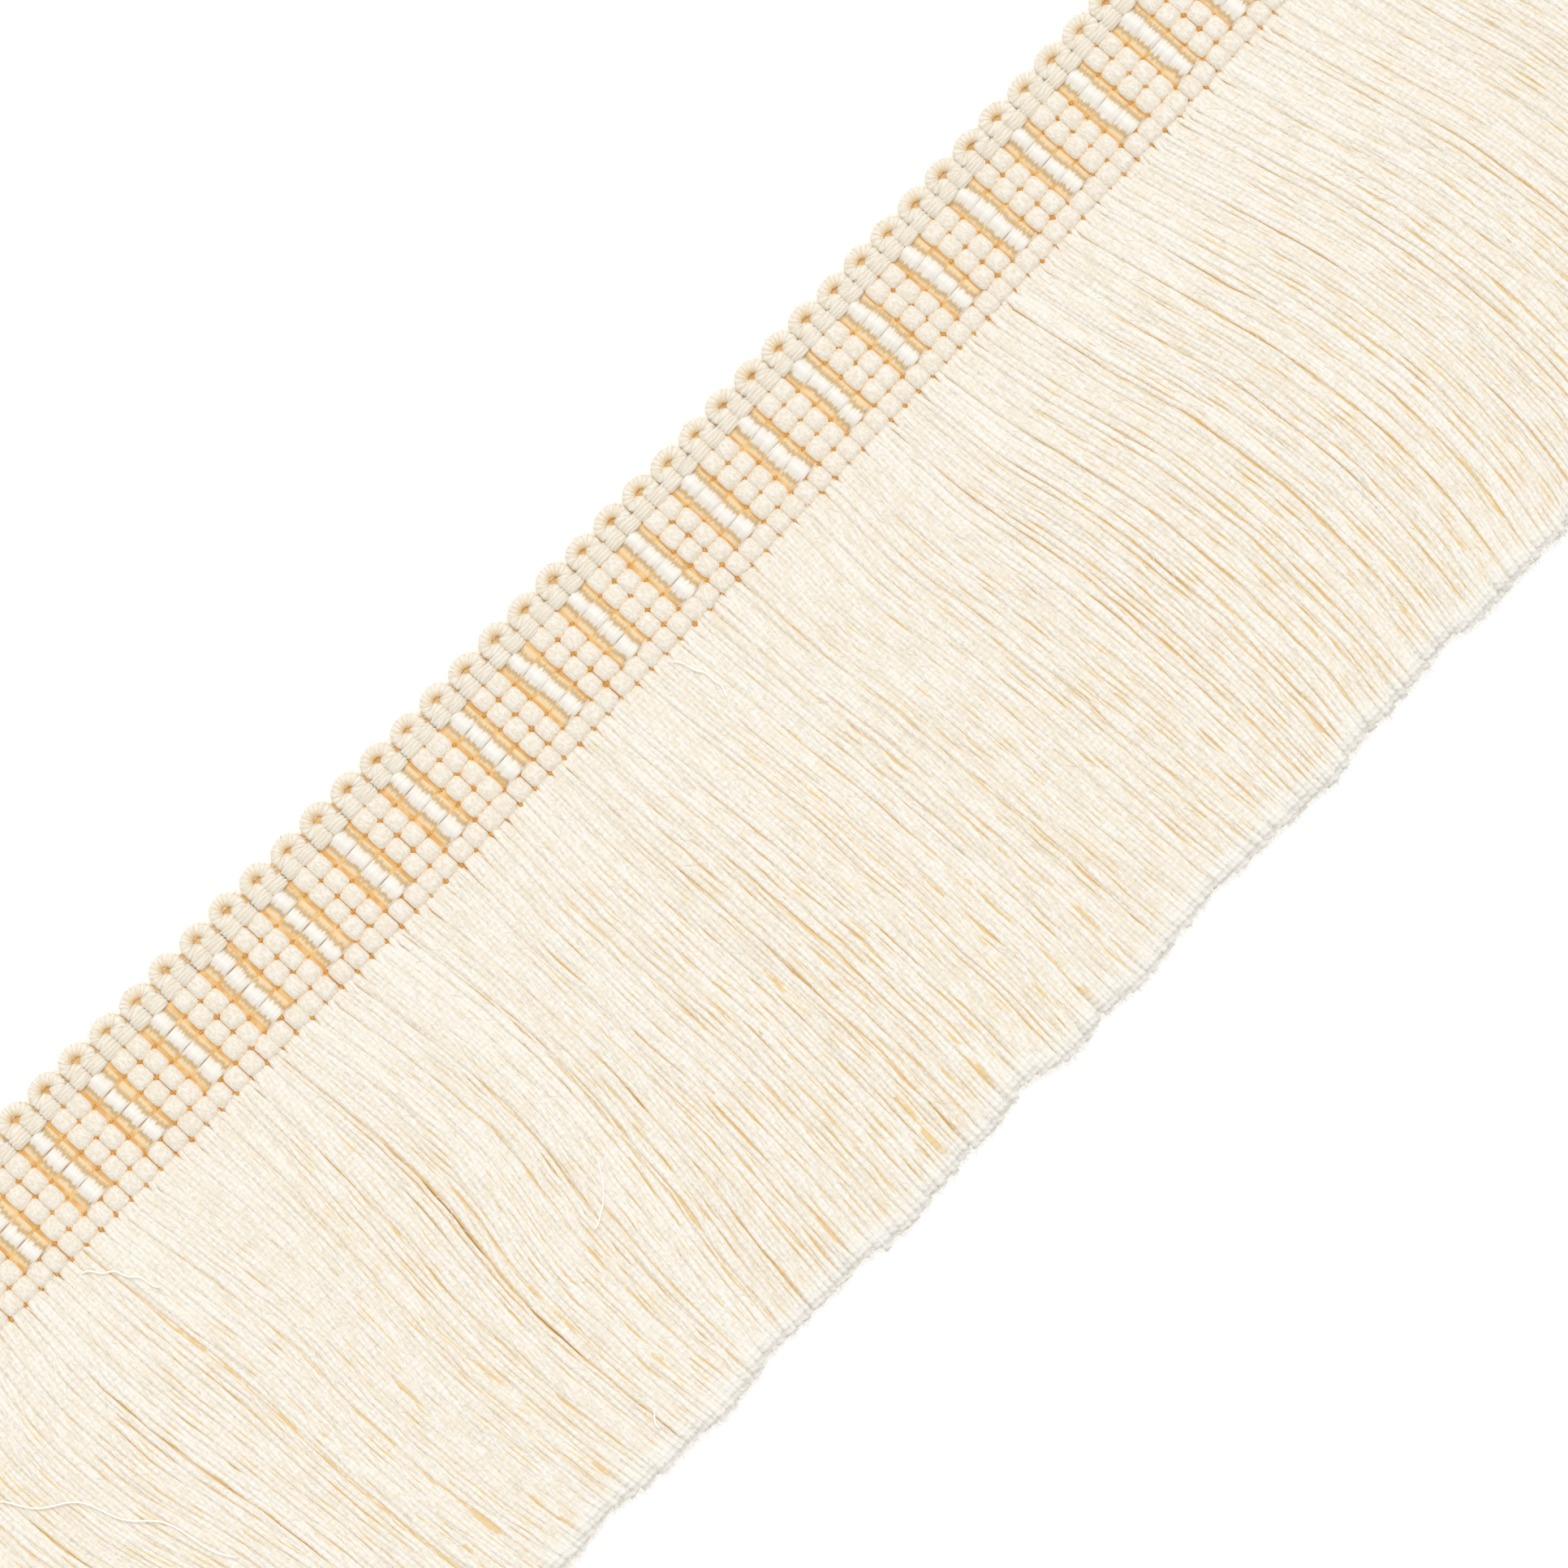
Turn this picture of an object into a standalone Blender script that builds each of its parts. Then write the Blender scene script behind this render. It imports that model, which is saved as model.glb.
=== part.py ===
"""Chainette fringe trim: a cut length of scalloped woven heading with a skirt of cut strands.

It lies flat on z = 0 with its length along X, the scalloped heading towards +Y and the strands
towards -Y. Shapes are laid out in trim coordinates and then bent onto a long arc, because the
trim lies in a slight curve: along runs with the trim from its middle, across runs from the line
where the strands start, positive over the heading and negative over the strands.
"""

import math

import bmesh
import bpy
import numpy as np

# Repeat of the braid: a weft cord crosses the heading in passes, and every second turn is a scallop
PASS_PITCH = 0.0022
SCALLOPS = 57
LANE_PITCH = 0.00231
LANES = 6
BEND_RADIUS = 3.57

# The passes drift towards -X away from the middle, and the lower rows sag a little at that end
BEAT_DRIFT = 0.005
BEAT_REACH = 0.090
BEAT_TILT = 0.005
HEADING_SAG = 0.0115
SAG_EASE = 0.015

# Heading, measured across from the line where the strands start
HEADING_START = 0.0013
HEADING_END = 0.0167
NOTCH_DEPTH = 0.0014
STEPS_PER_SCALLOP = 4
LOOP_LEGS = 0.30
LOOP_HOLE = 0.60
LOOP_CREST = 0.86

# Heights of the woven relief above the face that the trim lies on
STAR_HEIGHT = 0.0012
SEAM_HEIGHT = 0.0017
BEAD_HEIGHT = 0.0022
SATIN_SIDE_HEIGHT = 0.0019
SATIN_HEIGHT = 0.0021
HOLE_HEIGHT = 0.0012
RIM_HEIGHT = 0.0011

# Fringe: two rows of locks, one above the other, grown from one narrow backing strip
STRIP_WIDTH = 0.0010
LOCKS_IN_ROW = 2 * SCALLOPS
ROW_HEIGHT = 0.00085
ROW_GAP = 0.0003
LOCK_GAP = 0.00016
LOCK_CROWN_INSET = 0.15
LOCK_SEGMENTS = (2, 3)
FRINGE_DEPTH = 0.05896
FRINGE_TAPER = -0.0102
CUT_WAVES = ((0.00045, 0.031, 0.4), (0.00030, 0.0127, 2.1))
CUT_STAGGER = 0.0005
TOP_STAGGER = 0.0002
FLOW_STEPS = 30

# Lean of the locks towards +X, in degrees, down the skirt at stations along the trim
FLOW_DEPTHS = (0.005, 0.0155, 0.029, 0.043, 0.056)
FLOW_LEANS = (
    # along, then the lean at each of those depths
    (-0.107, 6, 5, 12, 8, 7),
    (-0.081, 16, 7, -2, 6, 10),
    (-0.068, 3, -3, -2, 5, 8),
    (-0.055, 12, 4, -10, 2, 6),
    (-0.042, 7, 3, -5, -8, -5),
    (-0.030, 1, 1, 3, -2, -3),
    (-0.004, 8, 6, 3, 1, -2),
    (0.022, 1, 7, 4, 4, 4),
    (0.048, 11, 14, 5, -1, -8),
    (0.074, 15, 14, 7, 0, -12),
    (0.099, 15, 14, 6, 0, -8),
    (0.120, 13, 13, 6, 0, -6),
)

MERGE_DISTANCE = 1e-6
FRONT_NORMAL = -0.9
TRIM_LENGTH = 2 * SCALLOPS * PASS_PITCH
LAST_STAR_ROW = HEADING_START + (LANES - 1) * LANE_PITCH


def clear_scene():
    for obj in list(bpy.data.objects):
        bpy.data.objects.remove(obj, do_unlink=True)


def material(name, colour, roughness):
    made = bpy.data.materials.new(name)
    made.use_nodes = True
    shader = made.node_tree.nodes["Principled BSDF"]
    shader.inputs["Base Color"].default_value = (*colour, 1.0)
    shader.inputs["Roughness"].default_value = roughness
    shader.inputs["Metallic"].default_value = 0.0
    return made


def beaten(count):
    """Where along the trim the passes lie, for where they would lie if all were one pitch apart."""
    drift = BEAT_DRIFT * count**2 / (count**2 + BEAT_REACH**2)
    return count - drift - BEAT_TILT * count


def sag(along, across):
    """How far the trim hangs out towards the strands: most at the root line, none at its edges."""
    reach = across / HEADING_END if across > 0 else -across / FRINGE_DEPTH
    at_root = HEADING_SAG * (math.hypot(along, SAG_EASE) - along) / 2
    return at_root * max(0.0, 1 - reach)


def bent(along, across, height):
    """A point of the trim on its arc, whose centre lies far out on the heading's side."""
    across = across - sag(along, across)
    angle = along / BEND_RADIUS
    radius = BEND_RADIUS - across
    return (radius * math.sin(angle), BEND_RADIUS - radius * math.cos(angle), height)


def eased_between(stations, values, at):
    """Values eased from station to station with a smoothstep, and held beyond the two ends."""
    at = np.clip(at, stations[0], stations[-1])
    left = np.clip(np.searchsorted(stations, at, side="right") - 1, 0, len(stations) - 2)
    share = (at - stations[left]) / (stations[left + 1] - stations[left])
    eased = share * share * (3 - 2 * share)
    return values[left] + (values[left + 1] - values[left]) * eased


def lean(along, depth):
    """Slope of the locks along the trim, at places along it and one depth down the skirt."""
    table = np.array(FLOW_LEANS, float)
    at_depth = eased_between(np.array(FLOW_DEPTHS), table[:, 1:].T, depth)
    return np.tan(np.radians(eased_between(table[:, 0], at_depth, along)))


def flow_lines(starts, depth):
    """Where the lines that start at the root line and follow the lean reach a depth."""
    along = starts
    step = depth / FLOW_STEPS
    for count in range(FLOW_STEPS):
        halfway = along + lean(along, count * step) * step / 2
        along = along + lean(halfway, (count + 0.5) * step) * step
    return along


def cut_depth(along):
    """Depth of the cut edge: a slight taper along the trim and two soft waves."""
    waves = sum(
        size * math.sin(2 * math.pi * along / length + turn) for size, length, turn in CUT_WAVES
    )
    return FRINGE_DEPTH + FRINGE_TAPER * along + waves


def scallop_edge(phase):
    """How far across the heading reaches: an arc over each scallop, with a notch at its ends."""
    offset = 2 * phase - 1
    return HEADING_END - NOTCH_DEPTH * (1 - math.sqrt(max(0.0, 1 - offset * offset)))


def heading_section(step):
    """One cross-section of the heading, as (across, height) points from the lower rim round.

    Steps fall on the seams between passes and on the middles of the passes in turn. Rows fall on
    the star rows and on the middles of the lanes in turn. A seam and a star row lie low, and a
    bead stands where two middles meet. Every second scallop has a satin column in place of beads.
    """
    phase = (step % STEPS_PER_SCALLOP) / STEPS_PER_SCALLOP
    scallop = min(step // STEPS_PER_SCALLOP, SCALLOPS - 1)
    satin = scallop % 2 == 1 and phase > 0
    on_seam = step % 2 == 0
    edge = scallop_edge(phase)

    points = [(edge, 0.0), (HEADING_START, 0.0)]
    for half_lane in range(2 * (LANES - 1) + 1):
        across = HEADING_START + half_lane * LANE_PITCH / 2
        on_row = half_lane % 2 == 0
        if satin and 2 < half_lane < 2 * (LANES - 1):
            height = SATIN_HEIGHT if phase == 0.5 else SATIN_SIDE_HEIGHT
            height -= (SATIN_HEIGHT - SATIN_SIDE_HEIGHT) if on_row else 0.0
        elif on_row and on_seam:
            height = STAR_HEIGHT
        elif on_row or on_seam:
            height = SEAM_HEIGHT
        else:
            height = BEAD_HEIGHT
        points.append((across, height))

    loop = edge - LAST_STAR_ROW
    hole = HOLE_HEIGHT if phase == 0.5 else SEAM_HEIGHT
    legs = SEAM_HEIGHT if on_seam else BEAD_HEIGHT
    crest = STAR_HEIGHT if phase == 0 else BEAD_HEIGHT
    points.append((LAST_STAR_ROW + LOOP_LEGS * loop, legs))
    points.append((LAST_STAR_ROW + LOOP_HOLE * loop, hole))
    points.append((LAST_STAR_ROW + LOOP_CREST * loop, crest))
    points.append((edge, RIM_HEIGHT))
    return points


def loft(rings):
    """A closed body: a cross-section pulled from ring to ring, with a cap at each end."""
    bm = bmesh.new()
    section = bm.faces.new([bm.verts.new(place) for place in rings[0]])
    # Pulling a face uses it up, so a copy of the first one stays behind as the first cap
    section.copy()
    for ring in rings[1:]:
        section = bmesh.ops.extrude_discrete_faces(bm, faces=[section])["faces"][0]
        for vert, place in zip(section.verts, ring):
            vert.co = place
    bmesh.ops.remove_doubles(bm, verts=bm.verts[:], dist=MERGE_DISTANCE)
    bmesh.ops.recalc_face_normals(bm, faces=bm.faces[:])
    return bm


def finish(name, bm, finish_material, collection):
    bmesh.ops.recalc_face_normals(bm, faces=bm.faces[:])
    mesh = bpy.data.meshes.new(name)
    bm.to_mesh(mesh)
    bm.free()
    obj = bpy.data.objects.new(name, mesh)
    obj.data.materials.append(finish_material)
    collection.objects.link(obj)
    return obj


def heading_braid(collection):
    """The woven heading: its cross-section lofted along the trim from seam to pass to seam."""
    stations = np.linspace(-TRIM_LENGTH / 2, TRIM_LENGTH / 2, SCALLOPS * STEPS_PER_SCALLOP + 1)
    rings = [
        [bent(along, across, height) for across, height in heading_section(step)]
        for step, along in enumerate(beaten(stations))
    ]
    ivory = material("ivory_braid", (0.90, 0.84, 0.72), 0.6)
    return finish("heading_braid", loft(rings), ivory, collection)


def pull_locks(bm, roots, row, low, high):
    """Pulls a row of root faces out along the flow, segment by segment, to their cut ends.

    A lock lies between the two flow lines that start at the sides of its root, less a gap on
    each side, so that it meets no neighbour, and its upper face is narrower than its lower one.
    The upper row drifts by half a lock to its end.
    """
    starts = beaten(np.linspace(-TRIM_LENGTH / 2, TRIM_LENGTH / 2, LOCKS_IN_ROW + 1))
    drift = row * PASS_PITCH / 2
    faces = roots
    for segment in range(1, LOCK_SEGMENTS[row] + 1):
        share = segment / LOCK_SEGMENTS[row]
        lines = flow_lines(starts, share * FRINGE_DEPTH) + share * drift
        pulled = bmesh.ops.extrude_discrete_faces(bm, faces=faces)["faces"]
        faces = sorted(pulled, key=lambda face: face.calc_center_median().x)
        for lock, face in enumerate(faces):
            left, right = lines[lock] + LOCK_GAP, lines[lock + 1] - LOCK_GAP
            crown_inset = LOCK_CROWN_INSET * (right - left)
            depth = cut_depth((left + right) / 2) - CUT_STAGGER * (lock * 3 % 5) / 5
            crown = high - TOP_STAGGER * (lock * 5 % 7) / 7
            middle = face.calc_center_median()
            for vert in face.verts:
                upper = vert.co.z > middle.z
                inset = crown_inset if upper else 0.0
                along = right - inset if vert.co.x > middle.x else left + inset
                vert.co = bent(along, -share * depth, crown if upper else low)


def fringe_skirt(collection):
    """The strands: locks pulled out of the front of one narrow strip, in two rows.

    The strip's front is three faces high: the roots of the lower row, a gap and the roots of
    the upper row. Its cross-section is lofted along the trim with one step for each lock.
    """
    floor, lower_top, upper_floor = 0.0, ROW_HEIGHT, ROW_HEIGHT + ROW_GAP
    upper_top = upper_floor + ROW_HEIGHT
    section = [(0.0, z) for z in (floor, lower_top, upper_floor, upper_top)]
    section += [(STRIP_WIDTH, upper_top), (STRIP_WIDTH, floor)]
    stations = beaten(np.linspace(-TRIM_LENGTH / 2, TRIM_LENGTH / 2, LOCKS_IN_ROW + 1))
    bm = loft([[bent(along, across, z) for across, z in section] for along in stations])

    front = [face for face in bm.faces if face.normal.y < FRONT_NORMAL]
    lower = [face for face in front if face.calc_center_median().z < lower_top]
    upper = [face for face in front if face.calc_center_median().z > upper_floor]
    pull_locks(bm, lower, 0, floor, lower_top)
    pull_locks(bm, upper, 1, upper_floor, upper_top)
    ivory = material("ivory_chainette", (0.93, 0.87, 0.76), 0.5)
    return finish("fringe_skirt", bm, ivory, collection)


def centre(objects):
    """Moves the pieces together so that the middle of their box stands over the origin."""
    points = np.array([vert.co for obj in objects for vert in obj.data.vertices])
    middle = (points.min(axis=0) + points.max(axis=0)) / 2
    for obj in objects:
        obj.location = (-middle[0], -middle[1], 0.0)


def main():
    clear_scene()
    collection = bpy.data.collections.new("chainette_fringe_trim")
    bpy.context.scene.collection.children.link(collection)
    centre([heading_braid(collection), fringe_skirt(collection)])


main()
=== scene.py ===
"""Chainette fringe trim, lying flat: a woven heading with scallops and satin columns, and its skirt.

Shapes are laid out in trim coordinates, in metres: along runs with the trim from its middle, across
runs from the line where the strands start, positive over the heading and negative down the strands.
"""

import math

import bpy
import numpy as np
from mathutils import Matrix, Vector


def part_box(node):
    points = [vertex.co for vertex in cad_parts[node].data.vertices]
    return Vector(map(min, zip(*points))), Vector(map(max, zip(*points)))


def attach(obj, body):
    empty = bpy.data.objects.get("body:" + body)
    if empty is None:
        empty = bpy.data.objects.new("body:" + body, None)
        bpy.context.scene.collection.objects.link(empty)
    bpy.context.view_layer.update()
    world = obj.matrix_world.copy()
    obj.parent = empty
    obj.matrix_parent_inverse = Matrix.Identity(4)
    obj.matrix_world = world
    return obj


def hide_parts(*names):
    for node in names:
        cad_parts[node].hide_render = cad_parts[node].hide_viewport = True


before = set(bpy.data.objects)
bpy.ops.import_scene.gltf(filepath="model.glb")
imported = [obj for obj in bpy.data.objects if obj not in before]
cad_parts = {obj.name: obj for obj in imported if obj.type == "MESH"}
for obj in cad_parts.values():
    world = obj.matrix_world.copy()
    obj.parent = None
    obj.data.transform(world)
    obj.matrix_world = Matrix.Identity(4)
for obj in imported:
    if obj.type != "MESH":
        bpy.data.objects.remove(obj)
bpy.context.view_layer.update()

# Braid ground: the flat web under the heading, of the same ivory yarn as the cord, coloured ochre
# as painted shade for the deep shade it lies in, and given a faint painted warm glow. Ivory yarn
# covers it nearly everywhere, so it shows in the stars between the beads, in a band at each side of a
# satin column and in the eyes of the scallops.
PASS_PITCH = 0.0022
PASSES = 114
HALF_LENGTH = PASSES * PASS_PITCH / 2
LANE_PITCH = 0.00231
FIRST_ROW = 0.0013
LAST_ROW = FIRST_ROW + 5 * LANE_PITCH
SCALLOP_TIP = 0.0167
FRINGE_DEPTH = 0.05896
BEND_RADIUS = 3.57
BEATEN_DRIFT = 0.005
BEATEN_SPREAD = 0.090
BEATEN_SHARE = 0.005
ROOT_SAG = 0.0115
SAG_TURN = 0.015
GROUND_PROFILE = (
    # across and height, from the strands' side over the top to the scallops' side and back below
    (0.0006, 0.0005), (0.0009, 0.00118), (0.0040, 0.00126), (0.0125, 0.00126),
    (0.0153, 0.00128), (0.01545, 0.0006), (0.0152, 0.0001), (0.0009, 0.0001),
)


def beaten(even):
    """Where the passes lie along the trim, for where they would lie if all were one pitch apart:
    they drift towards -X, by 5 mm times x squared over (x squared + 90 mm squared), plus 0.5% of x."""
    return even - BEATEN_DRIFT * even**2 / (even**2 + BEATEN_SPREAD**2) - BEATEN_SHARE * even


def sag(along, across):
    """How far the trim hangs out towards the strands: the square root of (x squared + 15 mm squared),
    less x, is a soft ramp that grows towards -X. Half of it, times the sag at the root line, times a
    share that is 1 at the root line and falls evenly to 0 at the scallops and at the cut edge."""
    at_root = ROOT_SAG * (np.hypot(along, SAG_TURN) - along) / 2
    share = 1 - np.where(across > 0, across / SCALLOP_TIP, -across / FRINGE_DEPTH)
    return at_root * np.clip(share, 0, 1)


def laid(along, across, height):
    """Points in the frame: along is an angle on an arc whose centre lies far out beyond the
    scallops, and across, less the sag, shortens its radius."""
    along, across, height = np.broadcast_arrays(along, across, height)
    radius = BEND_RADIUS - across + sag(along, across)
    angle = along / BEND_RADIUS
    flat = [radius * np.sin(angle), BEND_RADIUS - radius * np.cos(angle), height]
    return np.stack(flat, axis=-1) + trim_place


def tube(path, half_width, half_height, around, squareness=2.0, first=-0.5):
    """Rings along paths of points, [..., row, xyz] to [..., row, around, xyz]. A ring is the curve
    |x|^n + |z|^n = 1 with n the squareness, x scaled by half_width along path direction cross up,
    and z scaled by half_height straight up. Its first point is at first times pi, -0.5 the bottom."""
    ahead = np.gradient(path, axis=-2)
    side = np.cross(ahead, (0.0, 0.0, 1.0))
    side /= np.linalg.norm(side, axis=-1, keepdims=True)
    turn = first * np.pi + 2 * np.pi * np.arange(around) / around
    out = np.sign(np.cos(turn)) * np.abs(np.cos(turn)) ** (2 / squareness)
    up = np.sign(np.sin(turn)) * np.abs(np.sin(turn)) ** (2 / squareness)
    shape = path.shape[:-1]
    wide = np.broadcast_to(half_width, shape)[..., None] * out
    high = np.broadcast_to(half_height, shape)[..., None] * up
    points = path[..., None, :] + side[..., None, :] * wide[..., None]
    points[..., 2] += high
    return points


def skinned(name, points, finish, node, tint=0.0, mark=0.0):
    """A mesh of closed skins from points[piece, row, around, xyz]: quads join each ring to the
    next, and a flat cap closes each end. UV is the share of the turn around the ring and the length
    along the piece in metres. The attributes tint and mark hold one number for each point."""
    pieces, rows, around = points.shape[:3]
    corner = np.arange(pieces * rows * around).reshape(pieces, rows, around)
    beside = np.roll(corner, -1, axis=2)
    quads = np.stack([corner[:, :-1], corner[:, 1:], beside[:, 1:], beside[:, :-1]], axis=-1)
    caps = np.concatenate([corner[:, 0], corner[:, -1, ::-1]])
    loops = np.concatenate([quads.ravel(), caps.ravel()])
    quad_count = quads.size // 4
    starts = np.concatenate([
        np.arange(quad_count) * 4,
        quad_count * 4 + np.arange(len(caps)) * around,
    ])
    mesh = bpy.data.meshes.new(name)
    mesh.vertices.add(corner.size)
    mesh.vertices.foreach_set("co", points.astype(np.float32).ravel())
    mesh.loops.add(len(loops))
    mesh.loops.foreach_set("vertex_index", loops.astype(np.int32))
    mesh.polygons.add(len(starts))
    mesh.polygons.foreach_set("loop_start", starts.astype(np.int32))
    mesh.update(calc_edges=True)
    mesh.shade_smooth()

    middles = points.mean(axis=2)
    steps = np.linalg.norm(np.diff(middles, axis=1), axis=-1)
    length = np.concatenate([np.zeros((pieces, 1)), np.cumsum(steps, axis=1)], axis=1)
    near = np.broadcast_to(length[:, :-1, None], quads.shape[:3])
    far = np.broadcast_to(length[:, 1:, None], quads.shape[:3])
    turn = np.broadcast_to(np.arange(around) / around, quads.shape[:3])
    quad_uv = np.stack([
        np.stack([turn, near], axis=-1),
        np.stack([turn, far], axis=-1),
        np.stack([turn + 1 / around, far], axis=-1),
        np.stack([turn + 1 / around, near], axis=-1),
    ], axis=-2)
    cap_uv = np.zeros((caps.size, 2))
    uv = np.concatenate([quad_uv.reshape(-1, 2), cap_uv])
    mesh.uv_layers.new(name="UVMap").data.foreach_set("uv", uv.astype(np.float32).ravel())
    for label, values in (("tint", tint), ("mark", mark)):
        spread = np.broadcast_to(values, corner.shape).astype(np.float32)
        mesh.attributes.new(label, "FLOAT", "POINT").data.foreach_set("value", spread.ravel())
    mesh.materials.append(finish)
    piece = bpy.data.objects.new(name, mesh)
    bpy.context.scene.collection.objects.link(piece)
    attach(piece, "root")
    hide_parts(node)
    return piece


class Wire:
    """One output socket of a material. Sums, products and powers of wires and numbers add Math
    nodes, and node() adds any other node."""

    def __init__(self, tree, socket=None):
        self.tree = tree
        self.socket = socket

    def node(self, kind, settings, inputs, output=0):
        """A new node of this kind: first its settings, then a value or a wire for each socket."""
        made = self.tree.nodes.new(kind)
        for key, value in settings.items():
            setattr(made, key, value)
        for key, value in inputs.items():
            if isinstance(value, Wire):
                self.tree.links.new(value.socket, made.inputs[key])
            else:
                made.inputs[key].default_value = value
        return Wire(self.tree, made.outputs[output])

    def maths(self, operation, first, second=0.0):
        return self.node("ShaderNodeMath", {"operation": operation}, {0: first, 1: second})

    def __add__(self, other):
        return self.maths("ADD", self, other)

    def __radd__(self, other):
        return self.maths("ADD", other, self)

    def __sub__(self, other):
        return self.maths("SUBTRACT", self, other)

    def __rsub__(self, other):
        return self.maths("SUBTRACT", other, self)

    def __mul__(self, other):
        return self.maths("MULTIPLY", self, other)

    def __rmul__(self, other):
        return self.maths("MULTIPLY", other, self)

    def __truediv__(self, other):
        return self.maths("DIVIDE", self, other)

    def __pow__(self, other):
        return self.maths("POWER", self, other)

    def sine(self):
        return self.maths("SINE", self)

    def cosine(self):
        return self.maths("COSINE", self)

    def size(self):
        return self.maths("ABSOLUTE", self)

    def eased(self, low, high):
        """0 below low and 1 above high, with a smoothstep between."""
        inputs = {"Value": self, "From Min": low, "From Max": high}
        return self.node("ShaderNodeMapRange", {"interpolation_type": "SMOOTHSTEP"}, inputs)

    def blend(self, low, high):
        """The colour low where this wire is 0 and high where it is 1."""
        low, high = (c if isinstance(c, Wire) else (*c, 1.0) for c in (low, high))
        return self.node("ShaderNodeMix", {"data_type": "RGBA"}, {0: self, 6: low, 7: high}, 2)

    def part(self, axis):
        return self.node("ShaderNodeSeparateXYZ", {}, {0: self}, axis)

    def stacked(self, second, third):
        return self.node("ShaderNodeCombineXYZ", {}, {0: self, 1: second, 2: third})

    def noise(self, scale, detail=2.0, roughness=0.5):
        inputs = {"Vector": self, "Scale": scale, "Detail": detail, "Roughness": roughness}
        return self.node("ShaderNodeTexNoise", {}, inputs, "Fac")


def yarn_finish(name, roughness, sheen):
    """A material with its Principled shader's even values set, and the wires to start from:
    the shader, the place in the piece, the turn around and length along it, and its tint."""
    made = bpy.data.materials.new(name)
    made.use_nodes = True
    shader = made.node_tree.nodes["Principled BSDF"]
    shader.inputs["Roughness"].default_value = roughness
    shader.inputs["Sheen Weight"].default_value = sheen
    shader.inputs["Specular IOR Level"].default_value = 0.35
    start = Wire(made.node_tree)
    place = start.node("ShaderNodeTexCoord", {}, {}, "Object")
    wound = start.node("ShaderNodeTexCoord", {}, {}, "UV")
    tint = start.node("ShaderNodeAttribute", {"attribute_name": "tint"}, {}, "Fac")
    return made, shader, place, wound, tint


def coated(shader, colour, relief, strength, distance):
    """Links a colour and a bump of this relief to the shader."""
    inputs = {"Strength": strength, "Distance": distance, "Height": relief}
    bump = relief.node("ShaderNodeBump", {}, inputs, "Normal")
    colour.tree.links.new(colour.socket, shader.inputs["Base Color"])
    colour.tree.links.new(bump.socket, shader.inputs["Normal"])


def lit_through(made, shader, glow):
    """The faint warm light that comes through loose yarn where little falls on it, an even colour
    or a wire. No rays are aimed at it, which keeps the render short."""
    shader.inputs["Emission Strength"].default_value = 1.0
    made.cycles.emission_sampling = "NONE"
    if isinstance(glow, Wire):
        glow.tree.links.new(glow.socket, shader.inputs["Emission Color"])
    else:
        shader.inputs["Emission Color"].default_value = (*glow, 1.0)


# The trim's place in the frame: its first corner and its end scallop meet the heading's box.
trim_place = np.zeros(3)
heading_low, heading_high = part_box("heading_braid")
end_corner = laid(beaten(-HALF_LENGTH), FIRST_ROW, 0.0)
end_scallop = laid(beaten(PASS_PITCH - HALF_LENGTH), SCALLOP_TIP, 0.0)
trim_place = np.array([heading_low.x - end_corner[0], heading_high.y - end_scallop[1], 0.0])

ochre, ground_shade_shader, place, wound, tint = yarn_finish("braid_ground_painted_shade", roughness=0.75, sheen=0.15)
warp_threads = (place.part(0) * 9000 + place.noise(900) * 5).sine()
# The ochre here is painted shade, and the emission below is a painted warm glow.
ground_shade_colour = place.noise(700).eased(0.35, 0.7).blend((0.70, 0.40, 0.135), (0.84, 0.575, 0.27))
coated(ground_shade_shader, ground_shade_colour, warp_threads, strength=0.35, distance=0.0001)
lit_through(ochre, ground_shade_shader, (0.07, 0.036, 0.01))

ground_along = beaten(np.linspace(-HALF_LENGTH, HALF_LENGTH, 2 * PASSES + 1))
ground_across, ground_height = np.array(GROUND_PROFILE).T
ground_points = laid(ground_along[:, None], ground_across, ground_height)
braid_ground = skinned("braid_ground", ground_points[None], ochre, "heading_braid")

# Weft passes: one thick soft ivory cord, laid back and forth over the ground and pinched at each
# warp row, so that it stands up between the rows in round beads. The passes lie side by side, and
# under a satin column only their first lane shows.
BEAD_RINGS = 10
PASS_SIDES = 16
PASS_SQUARENESS = 2.9
PASS_BOTTOM = 0.0004
PASS_TOP = 0.00146
BEAD_RISE = 0.00056
PASS_HALF_WIDTH = 0.00090
BEAD_BULGE = 0.00026
PASS_TAIL = 0.24
TAIL_DIVE = 0.0005
HEADING_SKEW = 0.045


def skewed(across):
    """The columns lean a little: they shift along as they come down from the scallops."""
    return HEADING_SKEW * (0.009 - across)


def bead_swell(across, squareness):
    """0 at a warp row and 1 at the middle of a lane: 1 less a power of the way to the row."""
    lane = (across - FIRST_ROW) / LANE_PITCH
    return 1 - np.abs(2 * (lane % 1) - 1) ** squareness


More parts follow.
